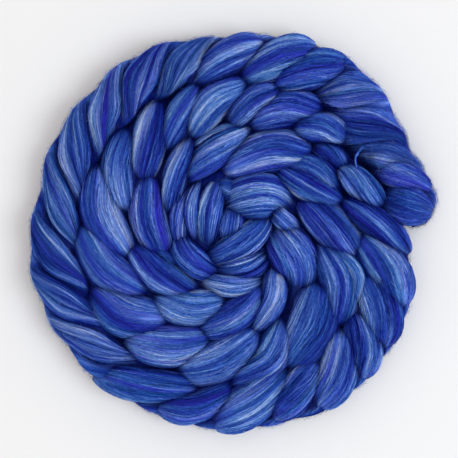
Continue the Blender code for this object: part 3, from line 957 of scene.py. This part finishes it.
HEIGHTS_AROUND = blurred(height_map())


def open_to_light(points):
    """1 in the open, less in the crevices, where wool shades wool."""
    place = points[..., :2] / MAP_CELL + MAP_SIDE / 2 - 0.5
    low = np.floor(place).astype(int)
    (i, j), (u, v) = np.moveaxis(low, -1, 0), np.moveaxis(place - low, -1, 0)
    left = HEIGHTS_AROUND[i, j] * (1 - v) + HEIGHTS_AROUND[i, j + 1] * v
    right = HEIGHTS_AROUND[i + 1, j] * (1 - v) + HEIGHTS_AROUND[i + 1, j + 1] * v
    around = left * (1 - u) + right * u
    return 1 - (1 - DARKEST) * ramp(*DEPTHS, around - points[..., 2])


def leaf_surface(leaf):
    """As rope_surface, for one loose bundle."""

    def surface(lobe, t, share):
        skin = skin_of(lambda t, angle: leaf_points(leaf, t, angle), t, share * SIDE_ANGLE)
        finer_share = np.clip(share, -GRAIN_REACH, GRAIN_REACH) * leaf[1] / LOBE_HALF_WIDTH
        return *skin, looks(lobe, t, finer_share, skin[0])

    return surface


def bundle_body(name, surface, number, material):
    """The closed skin of a laid lobe or a bundle, with its locks parted."""
    t = np.linspace(0.0, 1.0, BODY_RINGS)[1:-1]
    angle = np.linspace(-math.pi, math.pi, BODY_CORNERS + 1)[:-1]
    along, around = np.meshgrid(t, angle, indexing="ij")
    lobe = np.full_like(along, number)
    points, _, outwards, seen = surface(lobe, along, around / SIDE_ANGLE)
    inwards = RELIEF_SHARE * relief(lobe, along, seen["across"]) - LAID_INSET
    points = points + outwards * inwards[..., None]
    points[..., 2] = np.maximum(points[..., 2], FLOOR_GAP)
    return closed_skin(name, points, seen, material)


# ---- fuzz


STATIONS = 4
STRAYING = 0.5  # how far a fibre's heading strays to its sides
BENDING = 0.35
SETTLING = 0.25  # how far it bends back to the skin
HAIR_TONE = (0.02, 0.12)  # how much paler than its root it is: the mean, and how far that strays
HAIR_HEIGHT = 0.8  # as a share of its thickness

TOP_ALONG = (0.1, 0.96)  # where fuzz is rooted, along a lobe and across it
TOP_ACROSS = (-1.1, 1.1)
EDGE_ALONG = (0.08, 0.92)
EDGE_ACROSS = (0.45, 0.95)


def fuzz(name, material, roots, length, lift, thickness):
    """Stray fibres that leave the skin at their roots: points, aside, outwards and looks."""
    points, aside, outwards, numbers = roots
    count = len(points)
    ahead = np.cross(aside, outwards) * RNG.choice([-1.0, 1.0], count)[:, None]
    heading = ahead + aside * RNG.normal(0.0, STRAYING, (count, 1))
    heading = unit(heading + outwards * RNG.uniform(*lift, count)[:, None])
    bend = RNG.normal(0.0, BENDING, (count, 3)) - SETTLING * outwards
    s = np.linspace(0.0, 1.0, STATIONS)[None, :, None]
    long = RNG.uniform(*length, count)[:, None, None]
    hairs = points[:, None, :] + long * (heading[:, None, :] * s + bend[:, None, :] * s**2)
    numbers = {label: np.repeat(values[:, None], STATIONS, axis=1) for label, values in numbers.items()}
    numbers["tone"] = numbers["tone"] + RNG.normal(*HAIR_TONE, count)[:, None]
    sideways = np.repeat(aside[:, None, :], STATIONS, axis=1)
    upwards = np.repeat(outwards[:, None, :], STATIONS, axis=1)
    wide = RNG.uniform(*thickness, count)
    return strands(name, hairs, sideways, upwards, wide, wide * HAIR_HEIGHT, numbers, material)


def rim_roots(count, phases, rounds):
    """Places on the rope's side. rounds is the range of their angle round the rope."""
    phase = RNG.uniform(*phases, count)
    round_rope = RNG.uniform(*rounds, count)
    lobe = np.rint((phase - round_rope) / math.pi)
    off_crest = round_rope + lobe * math.pi - phase
    ply = lobe % 2
    skin = rope_skin(phase, off_crest, ply)
    return *skin, looks(*fibre_place(phase, off_crest, ply), skin[0])


def top_roots(count, surface, lobes):
    """Places all over the tops of lobes."""
    lobe = RNG.choice(np.array(lobes, float), count)
    return surface(lobe, RNG.uniform(*TOP_ALONG, count), RNG.uniform(*TOP_ACROSS, count))


def edge_roots(count, surface, lobes):
    """Places on the sides of lobes, whose fibres stray over the next lobe."""
    lobe = RNG.choice(np.array(lobes, float), count)
    share = RNG.uniform(*EDGE_ACROSS, count) * RNG.choice([-1.0, 1.0], count)
    return surface(lobe, RNG.uniform(*EDGE_ALONG, count), share)


# ---- materials


def linear(red, green, blue):
    """A colour given as it looks on a screen, 0 to 255, as the light it stands for."""
    shares = [c / 255 for c in (red, green, blue)]
    return [s / 12.92 if s <= 0.04045 else ((s + 0.055) / 1.055) ** 2.4 for s in shares] + [1.0]


BLUES = (
    # place, colour from the darkest wool to the palest
    (0.00, (2, 14, 106)),
    (0.25, (22, 53, 157)),
    (0.50, (54, 96, 191)),
    (0.75, (110, 150, 226)),
    (1.00, (194, 212, 248)),
)
VIOLET_BLUE = (54, 48, 200)
# the deep navy that painted shade brings the wool towards, in the crevices
SHADE_NAVY = (2, 9, 96)
GRAIN_SPACE = (
    # axis, what the grain follows along it, and how fine it is
    ("X", "across", 11.0),
    ("Y", "along", 1.2),
    ("Z", "lobe", 3.7),
)
CROSSINGS = (1.6, 22.0, 1.0)  # where fibres cross, the grain is this much finer across and along
STREAK_CONTRAST = 0.56
CROSSING_CONTRAST = 0.4
EVEN_GRAIN = -0.46  # takes off what the two grains add to the tone on the whole
HUE_SWING = 0.01  # how far the hue turns, where 1 is the whole circle


def new_material(name):
    material = bpy.data.materials.new(name)
    material.use_nodes = True
    return material, material.node_tree.nodes


def filled(node, inputs):
    """The node, with its inputs set to values or linked to other nodes' outputs."""
    for label, value in inputs.items():
        if isinstance(value, bpy.types.NodeSocket):
            node.id_data.links.new(value, node.inputs[label])
        else:
            node.inputs[label].default_value = value
    return node


def made(nodes, kind, inputs, output, **settings):
    """The output of a new shader node."""
    node = nodes.new("ShaderNode" + kind)
    for name, value in settings.items():
        setattr(node, name, value)
    return filled(node, inputs).outputs[output]


def number(nodes, label):
    """One of the numbers of looks()."""
    return made(nodes, "Attribute", {}, "Fac", attribute_name=label)


def scaled(nodes, a, factor, more=0.0):
    """a * factor + more"""
    return made(nodes, "Math", {0: a, 1: factor, 2: more}, 0, operation="MULTIPLY_ADD")


def mix(nodes, factor, a, b):
    return made(nodes, "Mix", {"Factor": factor, "A": a, "B": b}, "Result", data_type="RGBA")


def fibre_grain(nodes):
    """Grain in streaks along the fibres, and the grain of single fibres that cross them."""
    axes = {axis: scaled(nodes, number(nodes, label), fineness) for axis, label, fineness in GRAIN_SPACE}
    place = made(nodes, "CombineXYZ", axes, "Vector")
    finer = made(nodes, "VectorMath", {0: place, 1: CROSSINGS}, "Vector", operation="MULTIPLY")
    streak = {"Vector": place, "Scale": 1.0, "Detail": 3.0, "Roughness": 0.65}
    crossing = {"Vector": finer, "Scale": 1.0, "Detail": 2.0, "Roughness": 0.7}
    return [made(nodes, "TexNoise", inputs, "Fac") for inputs in (streak, crossing)]


def wool_colour(nodes, streak, crossing):
    """The blue of the tone, turned by the hue and the violet, and darkened by painted shade in the
    crevices.
    """
    blues = nodes.new("ShaderNodeValToRGB")
    stops = blues.color_ramp.elements
    while len(stops) < len(BLUES):
        stops.new(0.5)
    for stop, (position, colour) in zip(stops, BLUES):
        stop.position = position
        stop.color = linear(*colour)
    toned = scaled(nodes, number(nodes, "tone"), 1.0, EVEN_GRAIN)
    toned = scaled(nodes, streak, STREAK_CONTRAST, toned)
    filled(blues, {"Fac": scaled(nodes, crossing, CROSSING_CONTRAST, toned)})
    turn = {"Hue": scaled(nodes, number(nodes, "hue"), HUE_SWING, 0.5), "Color": blues.outputs["Color"]}
    turned = made(nodes, "HueSaturation", turn, "Color")
    tinted = mix(nodes, number(nodes, "violet"), turned, linear(*VIOLET_BLUE))
    # painted shade: where the wool is shaded, its colour goes over to a deep navy
    return mix(nodes, number(nodes, "shade"), linear(*SHADE_NAVY), tinted)


def wool_material(name, roughness, sheen):
    """Wool whose colour follows the numbers of looks(), with fine grain along the fibres."""
    material, nodes = new_material(name)
    streak, crossing = fibre_grain(nodes)
    bump = {"Strength": 0.5, "Distance": 0.4 * MM, "Height": streak}
    shader = {
        "Base Color": wool_colour(nodes, streak, crossing),
        "Normal": made(nodes, "Bump", bump, "Normal"),
        "Roughness": roughness,
        "Specular IOR Level": 0.12,
        "Specular Tint": linear(190, 205, 245),
        "Sheen Weight": sheen,
        "Sheen Roughness": 0.4,
        "Sheen Tint": linear(96, 134, 230),
    }
    filled(nodes["Principled BSDF"], shader)
    return material


def plain_material(name, colour, roughness):
    material, nodes = new_material(name)
    filled(nodes["Principled BSDF"], {"Base Color": linear(*colour), "Roughness": roughness})
    return material


# ---- camera, floor, light

PHOTO_SIDE = 458
MM_PER_PIXEL = 0.66
CENTRE_PIXEL = (247.0, 243.0)  # where the photograph shows COIL_CENTRE
CAMERA_HEIGHT = 1000.0
VIEWED_HEIGHT = 14.0  # the level at which a pixel is MM_PER_PIXEL wide
SENSOR = 36.0


def add_camera():
    """Straight above the coil, as the photograph was taken."""
    data = bpy.data.cameras.new("camera")
    data.sensor_width = SENSOR
    data.lens = SENSOR * (CAMERA_HEIGHT - VIEWED_HEIGHT) / (PHOTO_SIDE * MM_PER_PIXEL)
    camera = new_object("camera", data)
    x = COIL_CENTRE[0] + (PHOTO_SIDE / 2 - CENTRE_PIXEL[0]) * MM_PER_PIXEL
    y = COIL_CENTRE[1] - (PHOTO_SIDE / 2 - CENTRE_PIXEL[1]) * MM_PER_PIXEL
    camera.location = (x * MM, y * MM, CAMERA_HEIGHT * MM)
    bpy.context.scene.camera = camera


def add_floor():
    side = 4.0  # metres
    corners = [(-side, -side, 0.0), (side, -side, 0.0), (side, side, 0.0), (-side, side, 0.0)]
    mesh = bpy.data.meshes.new("floor")
    mesh.from_pydata(corners, [], [(0, 1, 2, 3)])
    mesh.materials.append(plain_material("floor", colour=(238, 238, 238), roughness=0.7))
    new_object("floor", mesh)


def area_light(name, place, size, watts, colour):
    data = bpy.data.lights.new(name, "AREA")
    data.shape = "DISK"
    data.size = size
    data.energy = watts
    data.color = linear(*colour)[:3]
    light = new_object(name, data)
    light.location = place
    light.rotation_euler = (-mathutils.Vector(place)).to_track_quat("-Z", "Y").to_euler()


def add_light():
    """A broad window to the right and a bright, slightly warm room."""
    area_light("window", place=(2.2, -0.6, 2.8), size=2.2, watts=56.0, colour=(228, 240, 254))
    world = bpy.data.worlds.new("room")
    world.use_nodes = True
    sky = {"Color": linear(255, 251, 247), "Strength": 0.84}
    filled(world.node_tree.nodes["Background"], sky)
    bpy.context.scene.world = world
    bpy.context.scene.view_settings.view_transform = "Standard"


# ---- the pieces


ROPE_LOBES = (*range(5), *range(8, 16))  # their fibres lie on the rope's own skin
OUTER_TURN = (5, 6, 7, *range(16, 24))
SECOND_TURN = tuple(range(24, 43))
THIRD_TURN = (*range(43, 53), 57, 58, 59)
LAID_LOBES = (*OUTER_TURN, *SECOND_TURN, *THIRD_TURN)
UNDER_LAID = tuple(lobe for lobe in range(5, 57) if lobe not in ROPE_LOBES)
LAST_SLACK_LOBE = 3

LOCK_STRANDS = dict(
    width=(0.45, 1.1), height=(0.2, 0.4), lift=(0.0, 0.4), length=(0.5, 1.0), wave=0.08, contrast=0.07
)
FIBRE_STRANDS = dict(
    width=(0.2, 0.42), height=(0.12, 0.22), lift=(0.2, 0.8), length=(0.3, 0.8), wave=0.10, contrast=0.11
)
LOOSE_STRANDS = dict(
    width=(0.3, 0.9), height=(0.15, 0.35), lift=(0.0, 0.6), length=(0.5, 0.98), wave=0.1, contrast=0.11
)
STRAND_KINDS = (
    # name, how many on each lobe, stations along each, shape
    ("locks", 84, 10, LOCK_STRANDS),
    ("fibres", 124, 8, FIBRE_STRANDS),
)
UNDER_EACH = 14
LOOSE_PER_MM = 16  # of a bundle's half width
LEAST_LOOSE = 12

FUZZ = {
    # name: fibres, length, lift, thickness
    "rim": (4800, (1.5, 4.5), (0.2, 0.9), (0.05, 0.10)),
    "tail": (2400, (1.5, 4.0), (0.5, 1.6), (0.05, 0.10)),
    "rope": (700, (3.0, 8.0), (0.05, 0.3), (0.05, 0.10)),
    "lobes": (1500, (3.0, 8.0), (0.05, 0.3), (0.05, 0.10)),
    "edges": (4200, (2.0, 5.5), (-0.05, 0.25), (0.07, 0.14)),
    "tail_fold": (1100, (1.5, 5.0), (0.2, 1.0), (0.05, 0.10)),
    "tail_end": (1100, (1.5, 5.0), (0.2, 1.0), (0.05, 0.10)),
}
RIM_ROUNDS = (-2.2, -0.9)  # where the rim's fuzz leaves the rope, as an angle round it
TAIL_ROUNDS = (-2.2, 0.5)


def for_each(lobes, count):
    return np.repeat(np.array(lobes, float), count)


def strands_on_lobes(wool):
    pieces = []
    groups = (
        # name, surface, lobes
        ("rope", rope_surface, ROPE_LOBES),
        ("outer", petal_surface, OUTER_TURN),
        ("second", petal_surface, SECOND_TURN),
        ("third", petal_surface, THIRD_TURN),
    )
    for label, surface, lobes in groups:
        for kind, count, stations, shape in STRAND_KINDS:
            name = f"roving_{kind}_{label}"
            pieces.append(wool_strands(name, wool, surface, for_each(lobes, count), stations, **shape))
    each = for_each(UNDER_LAID, UNDER_EACH)
    under = wool_strands("roving_fibres_under", wool, rope_surface, each, stations=8, **LOCK_STRANDS)
    return [*pieces, under]


def loose_bundles(skin, wool):
    pieces = []
    for number, leaf in enumerate(LEAVES, LEAF_LOBE):
        name, half_width = leaf[:2]
        surface = leaf_surface(leaf)
        pieces.append(bundle_body("roving_heart_" + name, surface, number, skin))
        each = for_each([number], max(LEAST_LOOSE, round(half_width * LOOSE_PER_MM)))
        name = "roving_heart_locks_" + name
        pieces.append(wool_strands(name, wool, surface, each, stations=11, **LOOSE_STRANDS))
    return pieces


def stray_fibres(wool):
    start = PHASE_RANGE[0]
    rim_end = float(phase_at_turn(FULL_TURN))
    rooted = [
        # name of the fuzz, what finds its roots, and where
        ("rim", rim_roots, ((start, rim_end), RIM_ROUNDS)),
        ("tail", rim_roots, ((start, LAST_SLACK_LOBE * math.pi), TAIL_ROUNDS)),
        ("rope", top_roots, (rope_surface, ROPE_LOBES)),
        ("lobes", top_roots, (petal_surface, LAID_LOBES)),
        ("edges", edge_roots, (petal_surface, LAID_LOBES)),
    ]
    for number, leaf in enumerate(LEAVES, LEAF_LOBE):
        if leaf[0] in FUZZ:
            rooted.append((leaf[0], top_roots, (leaf_surface(leaf), [number])))
    pieces = []
    for name, find_roots, where in rooted:
        count, *shape = FUZZ[name]
        pieces.append(fuzz("roving_fuzz_" + name, wool, find_roots(count, *where), *shape))
    return pieces


def add_roving():
    skin = wool_material("wool_skin", roughness=0.6, sheen=0.14)
    wool = wool_material("wool_locks", roughness=0.5, sheen=0.14)
    body = coil_body(skin)
    laid = [bundle_body(f"roving_lobe_{lobe}", petal_surface, lobe, skin) for lobe in LAID_LOBES]
    pieces = [body, *laid, *strands_on_lobes(wool), *loose_bundles(skin, wool), *stray_fibres(wool)]
    for piece in pieces:
        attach(piece, "root")
    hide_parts("roving_coil")


add_camera()
add_floor()
add_light()
add_roving()
